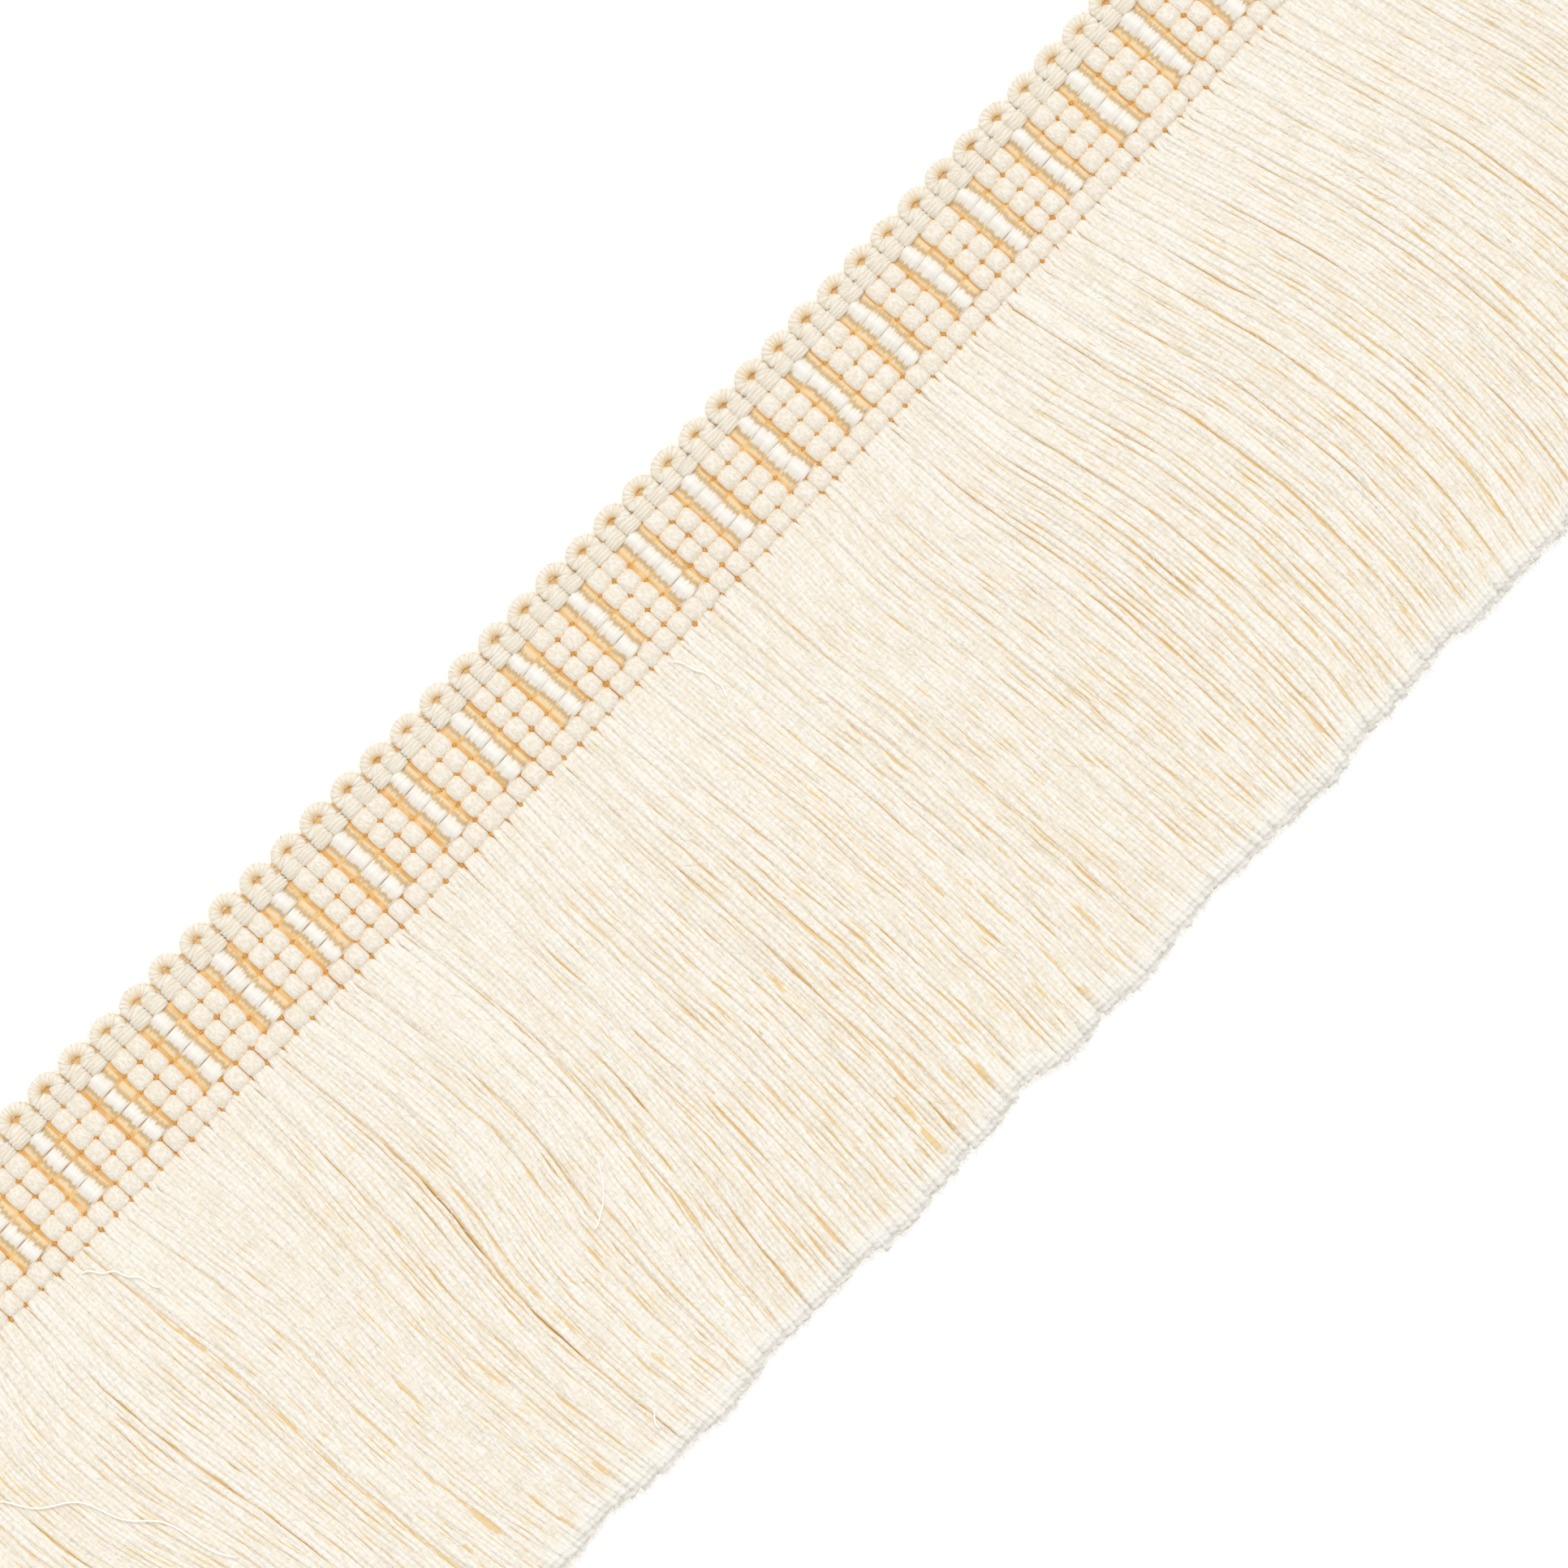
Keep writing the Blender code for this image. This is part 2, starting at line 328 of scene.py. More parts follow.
def weft_passes(indices, lanes, seed):
    """Tubes across the heading over so many lanes, from a short tail that dives below the first
    row. Their width and height swell in each lane, and each bead is a little different. Rings crowd
    towards the rows, by the cosine of the place in the lane."""
    chance = np.random.default_rng(seed)
    in_lane = 0.5 - 0.5 * np.cos(np.pi * np.arange(BEAD_RINGS) / BEAD_RINGS)
    lane = (np.arange(lanes)[:, None] + in_lane).ravel()
    lane = np.concatenate([(-PASS_TAIL, -0.08), lane, (lanes, lanes + 0.08)])
    across = FIRST_ROW + LANE_PITCH * lane
    bead = np.clip(np.floor(lane), 0, lanes - 1).astype(int)
    uneven = chance.normal(0, 1, (4, len(indices), lanes))[:, :, bead]
    swell = bead_swell(across, 3.0)
    even = (np.asarray(indices)[:, None] + 0.5) * PASS_PITCH - HALF_LENGTH
    along = beaten(even) + skewed(across) + 0.00006 * uneven[0] * swell
    shifted = across + 0.00004 * uneven[1] * swell
    bulge = (BEAD_BULGE + 0.00003 * uneven[2]) * bead_swell(across, 6.0)
    under = np.clip(-lane / PASS_TAIL, 0, 1)
    rise = (BEAD_RISE + 0.00004 * uneven[3]) * bead_swell(across, 4.0) * (under <= 0)
    top = PASS_TOP + rise - TAIL_DIVE * under
    path = laid(along, shifted, (top + PASS_BOTTOM) / 2)
    half_height = (top - PASS_BOTTOM) / 2
    return tube(path, PASS_HALF_WIDTH + bulge, half_height, PASS_SIDES, PASS_SQUARENESS)


SATIN_COLUMNS = 28
satin_passes = [4 * column + side for column in range(SATIN_COLUMNS) for side in (2, 3)]
bead_passes = [index for index in range(PASSES) if index not in satin_passes]
ivory, ivory_shader, place, wound, tint = yarn_finish("ivory_weft", roughness=0.62, sheen=0.25)
filament = (wound.part(0) * 30).stacked(wound.part(1) * 1700, tint * 40)
filaments = filament.noise(1.0, 3.0)
fluff = place.noise(3800, 2.0)
# Where the cord dips low, in the seams and creases between beads and passes, it is painted ochre shade,
# and crease_glow adds a painted warm glow there.
raised = (place.part(2) + (fluff - 0.5) * 0.0005).eased(0.00114, 0.00163)
lit = (filaments * 0.65 + fluff * 0.35).eased(0.40, 0.60)
ivory_top = lit.blend((0.855, 0.755, 0.60), (0.94, 0.887, 0.793))
ivory_colour = raised.blend((0.76, 0.46, 0.165), ivory_top)
coated(ivory_shader, ivory_colour, filaments + fluff, strength=0.6, distance=0.00018)
crease_glow = place.part(2).eased(0.00130, 0.00182).blend((0.09, 0.055, 0.015), (0.0, 0.0, 0.0))
lit_through(ivory, ivory_shader, crease_glow)

bead_points = weft_passes(bead_passes, lanes=5, seed=11)
chance = np.random.default_rng(5)
weft_cord = skinned("weft_cord", bead_points, ivory, "heading_braid",
                    chance.random((len(bead_points), 1, 1)))
short_points = weft_passes(satin_passes, lanes=1, seed=12)
weft_cord_short = skinned("weft_cord_short", short_points, ivory, "heading_braid",
                          chance.random((len(short_points), 1, 1)))

# Scallops: where the weft cord turns back at the upper edge it stands out in a loop, wrapped in
# its own spun yarn, with an open eye under its arch. Its two legs fill the last lane.
LOOP_RINGS = 54
LOOP_SIDES = 12
WRAP_PITCH = 0.00046
ARCH_CENTRE = 0.01488
ARCH_ACROSS = 0.00120
ARCH_ALONG = 0.00140
ARCH_HALF_WIDTH = 0.00068
ARCH_HALF_HEIGHT = 0.00070
ARCH_LEVEL = 0.00122


def smooth(share):
    """A smoothstep: 0 below 0 and 1 above 1, and 3 times the square less twice the cube between."""
    share = np.clip(share, 0, 1)
    return share * share * (3 - 2 * share)


def scallop_loops(seed):
    """Tubes up a leg, round a half ellipse and down the other leg, and how far each ring is up the
    arch, 1 at its tip and 0 on the legs. The arch is thin, each leg has a belly, and the leg is
    pinched where it leaves the last row. Tips stand and lean a little by chance."""
    chance = np.random.default_rng(seed)
    share = np.linspace(-1, 1, LOOP_RINGS)
    leg = np.clip((np.abs(share) - 0.5) / 0.5, 0, 1)
    bow = np.clip(share / 0.5, -1, 1) * np.pi / 2
    leg_across = ARCH_CENTRE - leg * (ARCH_CENTRE - LAST_ROW + 0.0002)
    across = np.where(leg > 0, leg_across, ARCH_CENTRE + ARCH_ACROSS * np.cos(bow))
    inward = smooth(leg / 0.26)
    offset = np.where(leg > 0, ARCH_ALONG - inward * (ARCH_ALONG - PASS_PITCH / 2), 0)
    offset = np.where(leg > 0, offset * np.sign(share), ARCH_ALONG * np.sin(bow))
    pinch = np.clip((leg - 0.78) / 0.22, 0, 1) ** 2
    belly = smooth(leg / 0.28)
    foot = 0.00012 * np.abs(np.sin(bow))
    half_width = ARCH_HALF_WIDTH + foot + 0.00042 * belly - 0.00026 * pinch
    half_height = ARCH_HALF_HEIGHT + 0.00008 * belly - 0.00014 * pinch
    middle = ARCH_LEVEL + 0.00006 * belly - 0.00014 * pinch

    scallops = np.arange(PASSES // 2)[:, None]
    uneven = chance.normal(0, 1, (5, PASSES // 2, 1))
    even = (2 * scallops + 1) * PASS_PITCH - HALF_LENGTH
    arch = np.cos(bow) * (leg <= 0)
    tip = (0.00010 * uneven[0]) * arch
    lop = (0.00010 * uneven[1]) * arch
    along = beaten(even) + offset * (1 + 0.03 * uneven[2]) + skewed(across) + lop
    path = laid(along, across + tip, middle + 0.00005 * uneven[3] * arch)
    rings = tube(path, half_width, half_height, LOOP_SIDES, 2.2)
    return rings, arch[:, None]


# The ring's size ripples round the wrapping, as the sine of the length along less the turn around.
loop_points, loop_arch = scallop_loops(seed=21)
loop_middles = loop_points.mean(axis=2, keepdims=True)
loop_steps = np.diff(loop_middles, axis=1, prepend=loop_middles[:, :1])
loop_length = np.cumsum(np.linalg.norm(loop_steps, axis=-1), axis=1)
wrap_turn = np.arange(LOOP_SIDES) / LOOP_SIDES
wrap_drift = chance.normal(0, 0.22, loop_length.shape).cumsum(axis=1)
wrapping = np.sin(2 * np.pi * (loop_length / WRAP_PITCH - wrap_turn) + wrap_drift)
loop_points = loop_middles + (loop_points - loop_middles) * (1 + 0.06 * wrapping[..., None])

wrapped, wrapped_shader, place, wound, tint = yarn_finish("ivory_wrapped_cord", roughness=0.6, sheen=0.25)
fluff = place.noise(3600, 2.0)
wraps = ((wound.part(1) / WRAP_PITCH - wound.part(0)) * (2 * math.pi) + place.noise(700) * 9).sine()
fine_wraps = (wound.part(0) * 5).stacked(wound.part(1) * 9000, tint * 60).noise(1.0, 2.0)
# Low on the loop it is painted tan shade; on the arch's inner side, towards the eye, it is painted
# orange-tan shade with a painted warm glow.
raised = place.part(2).eased(0.0008, 0.0016)
lit = (wraps * 0.08 + fine_wraps * 0.7 + fluff * 0.3).eased(0.34, 0.66)
wrapped_top = lit.blend((0.825, 0.715, 0.545), (0.935, 0.885, 0.785))
wrapped_colour = raised.blend((0.77, 0.59, 0.35), wrapped_top)
arch = tint.node("ShaderNodeAttribute", {"attribute_name": "mark"}, {}, "Fac")
turn_to_eye = wound.part(0) * (2 * math.pi) + fine_wraps * 1.2 - 0.6
eye_side_shade = turn_to_eye.sine().eased(-0.25, 0.75) * arch
wrapped_colour = (eye_side_shade * 0.85).blend(wrapped_colour, (0.77, 0.57, 0.31))
eye_glow = eye_side_shade.blend((0.0, 0.0, 0.0), (0.10, 0.06, 0.02))
lit_through(wrapped, wrapped_shader, eye_glow)
coated(wrapped_shader, wrapped_colour, wraps * 0.4 + fine_wraps + fluff, strength=0.5, distance=0.00012)
scallop_cord = skinned("scallop_cord", loop_points, wrapped, "heading_braid",
                       chance.random((PASSES // 2, 1, 1)), loop_arch)

# Binder threads: six warp threads, one along each row, coloured ochre to brown as painted shade for
# the deep shade in the stars where the passes meet, with a faint painted glow. They dive under each
# pass and come up at the seam between two passes in a small round knot, which pinches the passes
# into beads.
KNOT_PHASES = np.array([-0.5, -0.24, -0.14, 0.0, 0.14, 0.24])
ROW_LEVEL = 0.00094
KNOT_RISE = 0.00036
ROW_HALF_WIDTH = 0.00009
ROW_HALF_HEIGHT = 0.00010


def binder_threads(seed):
    """Tubes along the rows. In each pass pitch the phase runs from -0.5 to 0.5 round a seam, and
    the height and the half width swell there by 1 less the square of phase over 0.25. There is no
    knot inside a satin column, and the knots at its sides are smaller."""
    chance = np.random.default_rng(seed)
    seam = np.repeat(np.arange(PASSES + 1), len(KNOT_PHASES))[3:-2]
    phase = np.tile(KNOT_PHASES, PASSES + 1)[3:-2]
    rows = np.arange(6)[:, None]
    swell = np.clip(1 - (phase / 0.25) ** 2, 0, 1)
    own = chance.normal(0, 1, (3, 6, PASSES + 1))[:, :, seam]
    in_satin = (seam % 4 == 3) & (rows > 1) & (rows < 5)
    across = FIRST_ROW + LANE_PITCH * rows + 0.00003 * own[0]
    along = beaten((seam + phase) * PASS_PITCH - HALF_LENGTH) + skewed(across) + 0.00003 * own[1]
    beside_satin = (seam % 2 == 0) & (rows > 0)
    size = swell * (1 - in_satin) * (1 - 0.3 * beside_satin) * (1 + 0.12 * own[2])
    path = laid(along, across, ROW_LEVEL + KNOT_RISE * size)
    half_width = ROW_HALF_WIDTH + 0.00021 * size
    half_height = ROW_HALF_HEIGHT + 0.00017 * size
    return tube(path, half_width, half_height, 8)


thread, thread_shader, place, wound, tint = yarn_finish("binder_thread_painted_shade", roughness=0.6, sheen=0.2)
thread_twist = (wound.part(1) * 22000 - wound.part(0) * (2 * math.pi)).sine() * 0.3 + place.noise(3500)
# The knots' ochre-to-brown colour is painted shade.
thread_shade_colour = thread_twist.eased(0.2, 0.8).blend((0.48, 0.21, 0.04), (0.82, 0.43, 0.10))
coated(thread_shader, thread_shade_colour, thread_twist, strength=0.4, distance=0.00005)
lit_through(thread, thread_shader, (0.03, 0.014, 0.002))
binder_points = binder_threads(seed=31)
binder_rows = skinned("binder_threads", binder_points, thread, "heading_braid")

# Satin columns: over every second scallop's two passes, four lanes of flat glossy filament lie
# along the trim. Each float comes up out of the ground, crowns over the passes and dives again.
SATIN_REACH = 0.00203
SATIN_BOTTOM = 0.0006
SATIN_LEVEL = 0.00133
SATIN_CROWN = 0.00072
SATIN_CROWN_REACH = 0.54
SATIN_RINGS = 15
SATIN_SIDES = 20


def satin_floats(seed):
    """Pillows along the trim, one for each lane of a satin column, nearly as wide as the lane, and
    the place of each ring on its span, from -1 to 1. The height over the span is a raised cosine in
    the middle, flat beyond it, and the ends dive."""
    chance = np.random.default_rng(seed)
    columns = np.arange(SATIN_COLUMNS)[:, None, None]
    lanes = np.arange(1, 5)[None, :, None]
    span = np.linspace(-1, 1, SATIN_RINGS)
    uneven = chance.normal(0, 1, (5, SATIN_COLUMNS, 4, 1))
    even = (4 * columns + 3) * PASS_PITCH - HALF_LENGTH
    across = FIRST_ROW + (lanes + 0.5) * LANE_PITCH + 0.00003 * uneven[0]
    tilt = 0.05 + 0.03 * uneven[1]
    across = across + tilt * span * SATIN_REACH
    middle = 0.06 * uneven[4]
    along = beaten(even) + skewed(across) + SATIN_REACH * span
    crown = 0.5 + 0.5 * np.cos(np.pi * np.clip((span - middle) / SATIN_CROWN_REACH, -1, 1))
    ends = np.clip((np.abs(span) - 0.93) / 0.07, 0, 1)
    top = SATIN_LEVEL + (SATIN_CROWN + 0.00003 * uneven[2]) * crown**0.8 - 0.0003 * ends
    half_width = (LANE_PITCH / 2) * (1.02 + 0.01 * uneven[3])
    path = laid(along, across, (top + SATIN_BOTTOM) / 2)
    rings = tube(path, half_width, (top - SATIN_BOTTOM) / 2, SATIN_SIDES, 4.0)
    mark = np.broadcast_to(span - middle, path.shape[:-1])
    return rings.reshape(-1, SATIN_RINGS, SATIN_SIDES, 3), mark.reshape(-1, SATIN_RINGS, 1)


satin, satin_shader, place, wound, tint = yarn_finish("ivory_satin_floats", roughness=0.42, sheen=0.1)
span = tint.node("ShaderNodeAttribute", {"attribute_name": "mark"}, {}, "Fac")
streaks = (wound.part(0) * 52).stacked(wound.part(1) * 300, tint * 37)
silk = streaks.noise(1.0, 3.0, 0.6)
fine_silk = (wound.part(0) * 150).stacked(wound.part(1) * 500, tint * 71).noise(1.0, 2.0)
across_lane = ((wound.part(0) - 0.5) * 4.4).size()
from_middle = span.size()
# The float is painted white in its middle, a painted highlight on its crown, and tan towards its ends,
# painted shade where it dives, with a darker painted shadow blotch beside the white.
reach = 0.38 + across_lane**3.0 * 0.16 + (silk - 0.5) * 0.62 + tint * 0.12
white = 1 - (from_middle - reach).eased(-0.12, 0.12)
shadow_blotch_place = (from_middle - reach - 0.09).size()
shadow_blotch = (1 - shadow_blotch_place.eased(0.05, 0.30)) * (1 - across_lane.eased(0.7, 1.4) * 0.4)
plain_shade_band = across_lane.eased(0.55, 1.1).blend((0.91, 0.695, 0.42), (0.96, 0.80, 0.56))
band = shadow_blotch.blend(plain_shade_band, (0.63, 0.445, 0.22))
satin_lit = (silk * 0.5 + fine_silk * 0.5).eased(0.34, 0.62)
satin_top = satin_lit.blend((0.87, 0.82, 0.72), (0.96, 0.93, 0.87))
satin_colour = white.blend(band, satin_top)
coated(satin_shader, satin_colour, silk + fine_silk * 0.6, strength=0.4, distance=0.00008)
satin_points, satin_span = satin_floats(seed=41)
satin_columns = skinned("satin_columns", satin_points, satin, "heading_braid",
                        chance.random((len(satin_points), 1, 1)), satin_span)

# Fringe: fine soft chainette strands, each a narrow crocheted chain of ivory yarn. They come out of
# the heading's first row, bunched under each pass, lie in three loose layers, gather into locks that
# lean and wander, and are cut off level at the far end.
STRANDS_PER_PASS = 4
STRAND_HALF_HEIGHT = 0.00015
LAYER_HALF_WIDTHS = (0.00054, 0.00052, 0.00044)
LAYER_RINGS = (12, 16, 34)
LAYER_LEVELS = (0.00040, 0.00120, 0.00143)
LAYER_BUNCHING = (0.70, 0.60, 0.70)
LOWEST_STRAND = 0.00026
HIGHEST_STRAND = 0.00172
LOCK_SIZES = (1, 2, 2, 3, 3, 4, 6)
LOCK_GAP = 0.00009
LOCK_LENGTH = 0.058
LOCKS_GROWN = 0.016
GUIDE_LENGTH = 0.062
NEAR_CUT = 0.0555
CUT_TAPER = 0.0102
WORN_LENGTH = 0.0042
STITCH_PITCH = 0.00075
FLOW_DEPTHS = np.array([0.005, 0.0155, 0.029, 0.043, 0.056])
FLOW_LEANS = np.array([
    # along, then the lean of the strands towards +X in degrees at each of those depths
    (-0.107, -3, 5, 17, 8, 7), (-0.081, 13, 7, -1, 6, 10), (-0.068, 3, -3, -2, 5, 8),
    (-0.055, 12, 4, -10, 2, 6), (-0.042, 10, 3, -5, -8, -5), (-0.030, 1, 1, 3, -2, -3),
    (-0.004, 8, 6, 3, 1, -2), (0.022, 1, 7, 4, 4, 4), (0.048, 13, 14, 5, -1, -8),
    (0.074, 18, 14, 7, -3, -12), (0.099, 15, 14, 6, 0, -8), (0.120, 13, 13, 6, 0, -6),
])


def eased_between(stations, values, at):
    """Values eased from station to station with a smoothstep, and held beyond the two ends."""
    at = np.clip(at, stations[0], stations[-1])
    left = np.clip(np.searchsorted(stations, at, side="right") - 1, 0, len(stations) - 2)
    share = (at - stations[left]) / (stations[left + 1] - stations[left])
    return values[left] + (values[left + 1] - values[left]) * smooth(share)


def flow(starts, depths):
    """Where lines that start at the root line reach each depth: the tangent of the lean, added up
    step by step, with the lean taken halfway down each step."""
    along = starts
    reached = [along]
    for near, far in zip(depths[:-1], depths[1:]):
        step = max(far, 0.0) - max(near, 0.0)
        at_depth = eased_between(FLOW_DEPTHS, FLOW_LEANS[:, 1:].T, max((near + far) / 2, 0.0))
        lean = np.tan(np.radians(eased_between(FLOW_LEANS[:, 0], at_depth, along)))
        along = along + lean * step
        reached.append(along)
    return np.stack(reached, axis=-1)


def cut_depth(along):
    """Depth of the cut edge: a slight taper along the trim and two soft waves."""
    first = 0.00045 * np.sin(2 * np.pi * along / 0.031 + 0.4)
    second = 0.00030 * np.sin(2 * np.pi * along / 0.0127 + 2.1)
    return FRINGE_DEPTH - CUT_TAPER * along + first + second


def wander(chance, count, depth, lengths, sizes):
    """Soft side to side paths: for each of the count, sines of depth with their own phases."""
    total = 0.0
    for length, size in zip(lengths, sizes):
        phase = chance.uniform(0, 2 * np.pi, (count, 1))
        own = chance.normal(0, 1, (count, 1))
        total = total + size * own * np.sin(2 * np.pi * depth / length + phase)
    return total


def fringe_layer(layer, seed):
    """Six-sided tubes that follow the flow, a shade for each, and how worn each ring is: 0 until
    near the cut end, and 1 there. Their places are the flow's, plus a share of the way to the
    lock's middle, plus sines of the depth. Strands end at the cut edge, give or take."""
    chance = np.random.default_rng(seed)
    ring_count = LAYER_RINGS[layer]
    strand_pitch = PASS_PITCH / STRANDS_PER_PASS
    count = PASSES * STRANDS_PER_PASS
    member = np.arange(count) % STRANDS_PER_PASS - (STRANDS_PER_PASS - 1) / 2
    own_pass = np.arange(count) // STRANDS_PER_PASS
    pass_even = (own_pass + 0.5) * PASS_PITCH - HALF_LENGTH
    offset = (member + 0.5 * (layer % 2) + chance.normal(0, 0.22, count)) * strand_pitch

    # The flow from the first row down, a millimetre at a time, and how deep each strand is cut.
    share = np.linspace(0, 1, ring_count)
    near_root = -FIRST_ROW * np.array([1.12, 0.5, 0.0])
    starts = beaten(pass_even + offset)
    guide_depths = np.concatenate([near_root, np.linspace(0, GUIDE_LENGTH, 63)[1:]])
    guide = flow(starts, guide_depths)
    end = cut_depth(guide[:, np.searchsorted(guide_depths, NEAR_CUT)])

    # Locks of a few neighbours, the depth of each ring, and its place along the trim in the flow.
    lock_sizes = chance.choice(LOCK_SIZES, count)
    lock = np.repeat(np.arange(count), lock_sizes)[:count]
    locks = lock.max() + 1
    lock_end = chance.normal(0, 0.00022, locks)[lock]
    end = end - 0.0002 + lock_end + chance.normal(0, 0.00019, count) - 0.00025 * (2 - layer)
    depth = np.concatenate([
        np.broadcast_to(near_root, (count, 3)),
        end[:, None] * np.linspace(0, 1, ring_count - 2)[1:] ** 0.92,
    ], axis=1)
    row = np.interp(depth, guide_depths, np.arange(len(guide_depths)))
    low = np.clip(row.astype(int), 0, len(guide_depths) - 2)
    part = row - low
    each = np.arange(count)[:, None]
    along = guide[each, low] * (1 - part) + guide[each, low + 1] * part

    # A lock's strands are drawn together here and there, and lock and strand lean and wander.
    grown = smooth(depth / LOCKS_GROWN)
    middle = np.zeros((locks, along.shape[1]))
    np.add.at(middle, lock, along)
    middle /= np.bincount(lock, minlength=locks)[:, None]
    lock_depth = share * LOCK_LENGTH
    opened = np.clip(0.1 + wander(chance, locks, lock_depth, (0.0065, 0.011), (0.9, 0.9)), 0, 2.2)
    lock_span = np.bincount(lock, minlength=locks)[:, None] * strand_pitch
    gathered = np.clip(LOCK_GAP * opened / lock_span, 0, 0.35)
    along = along + (middle[lock] - along) * gathered[lock] * grown
    lock_lean = chance.normal(0, 0.0011, (locks, 1))[lock] * depth * grown
    lock_paths = wander(chance, locks, lock_depth, (0.017, 0.040), (0.00004, 0.00006))[lock] * grown
    strand_paths = wander(chance, count, depth, (0.006, 0.013), (0.00005, 0.00006)) * grown
    along = along + lock_lean + lock_paths + strand_paths

    # In the heading's first row they are bunched under their pass, and lean as its columns do.
    pass_middle = beaten(pass_even)[:, None]
    bunched = pass_middle + LAYER_BUNCHING[layer] * (along - pass_middle)
    out_of_row = np.clip(-depth / FIRST_ROW, 0, 1)
    along = along * (1 - out_of_row) + bunched * out_of_row
    along = along + skewed(0.0) * np.clip(1 - depth / 0.01, 0, 1)

    # Each layer lies at its own level and settles towards the cut, with a little rise and fall.
    lock_rise = chance.normal(0, 0.00002, (locks, 1))[lock]
    own_rise = wander(chance, count, depth, (0.008, 0.021), (0.00002, 0.00003))
    root_rise = chance.normal(0, 0.00003, (count, 1))
    settle = 0.00012 * layer * np.clip(depth / FRINGE_DEPTH, 0, 1)
    height = LAYER_LEVELS[layer] + root_rise + (lock_rise + own_rise) * grown - settle
    height = height - 0.0001 * out_of_row**2
    height = np.clip(height, LOWEST_STRAND, HIGHEST_STRAND)

    # A strand swells as it comes out of the heading, thins a little below, and flares at the cut.
    width = LAYER_HALF_WIDTHS[layer] * (1 + 0.13 * chance.normal(0, 1, (count, 1)))
    end_flare = 1 + 0.25 * np.clip((depth / end[:, None] - 0.985) / 0.015, 0, 1)
    root_swell = 0.25 * np.clip(depth / 0.0012, 0, 1) - 0.15 * np.clip((depth - 0.005) / 0.013, 0, 1)
    half_width = width * (end_flare * (0.95 + root_swell))
    rings = tube(laid(along, -depth, height), half_width, STRAND_HALF_HEIGHT, 6, first=0.5)
    shade = 0.5 * chance.random(count) + 0.5 * chance.random(locks)[lock]
    worn = np.clip(1 - (end[:, None] - depth) / WORN_LENGTH, 0, 1)
    return rings, shade[:, None, None], worn[:, :, None]


def chainette_finish(name, inner):
    """The yarn of the strands. Its crest is cream. Its sides, and most of a strand that lies inner,
    are painted tan shade with a painted warm glow, for the light that reaches them only through the
    yarn round them. The painted shade breaks up in short lengths, grows down the strand, and is gone
    at the worn white end."""
    made, shader, place, wound, tint = yarn_finish(name, roughness=0.6, sheen=0.3)
    around = wound.part(0) * (2 * math.pi)
    stitches = (wound.part(1) * (2 * math.pi / STITCH_PITCH) - around).sine()
    ring = (around.cosine() * 1.2).stacked(around.sine() * 1.2 + wound.part(1) * 900, tint * 53)
    yarn = ring.noise(1.0, 3.0, 0.6)
    long_yarn = (wound.part(1) * 300).stacked(tint * 91, 0.0).noise(1.0, 2.0)
    grown = wound.part(1).eased(0.001, 0.016) * 0.45 + wound.part(1).eased(0.016, 0.045) * 0.12
    fluff = place.noise(2600, 3.0)
    worn = tint.node("ShaderNodeAttribute", {"attribute_name": "mark"}, {}, "Fac")
    ragged = (fluff - 0.5) * 1.1 + (yarn - 0.5) * 0.9 + (long_yarn - 0.5) * 3.4
    edge = 1 - around.cosine()
    side = (edge * 2.0 + inner + ragged + grown).eased(1.12, 1.62)
    side = side * (edge + inner).eased(0.05, 0.24)
    lit = (yarn * 0.6 + fluff * 0.4 + tint * 0.08).eased(0.44, 0.61)
    top_colour = lit.blend((0.885, 0.79, 0.63), (0.955, 0.91, 0.825))
    # Painted shade: the sides, and inner strands, turn tan.
    colour = side.blend(top_colour, (0.75, 0.56, 0.29))
    colour = (worn.eased(0.1, 0.9) * 0.9).blend(colour, (0.965, 0.93, 0.86))
    coated(shader, colour, stitches * 0.2 + yarn + fluff * 0.6, strength=0.8, distance=0.00014)
    groove = edge.eased(0.22, 0.55)
    # Painted warm glow on the sides and in the grooves.
    glow = ((side + groove) * (1 - worn * 0.8) * 0.6).blend((0.0, 0.0, 0.0), (0.18, 0.13, 0.06))
    lit_through(made, shader, glow)
    return made


chain = chainette_finish("ivory_chainette", inner=0.0)
shaded_inner_chain = chainette_finish("ivory_chainette_shaded_inside", inner=0.75)
# The lower and middle layers take the copy with more painted shade.
layers = (("fringe_lower", shaded_inner_chain), ("fringe_middle", shaded_inner_chain), ("fringe_upper", chain))
for layer, (layer_name, layer_finish) in enumerate(layers):
    strand_points, strand_tint, strand_worn = fringe_layer(layer, seed=60 + layer)
    skinned(layer_name, strand_points, layer_finish, "fringe_skirt",
            strand_tint, strand_worn)

# Loose fibres: fine ends of yarn that stand off the wrapped scallops, lie along the top strands as
# fuzz, and fray from their cut ends.
FIBRE_RINGS = 2
FIBRES_PER_SCALLOP = 90
FUZZ_COUNT = 16000
FRAYS_PER_STRAND = 8
LOWEST_FIBRE = 0.0002
HIGHEST_FIBRE = 0.0021


def loose_fibres(roots, ways, lengths, seed, half_width):
    """Three-sided hairs from roots[fibre, xyz]: each goes its own way for its length, less or more
    by chance, and thins to its tip."""
    chance = np.random.default_rng(seed)
    share = np.linspace(0, 1, FIBRE_RINGS)[None, :, None]
    bend = chance.normal(0, 0.3, roots.shape) * (1, 1, 0.1)
    path = roots[:, None] + lengths[:, None, None] * (ways[:, None] * share + bend[:, None] * share**2)
    path[..., 2] = np.clip(path[..., 2], LOWEST_FIBRE, HIGHEST_FIBRE)
    thickness = half_width * (1.15 - share[..., 0])
    return tube(path, thickness, thickness, 3)


fluff_finish, fluff_shader, place, wound, tint = yarn_finish("ivory_fluff", roughness=0.8, sheen=0.2)
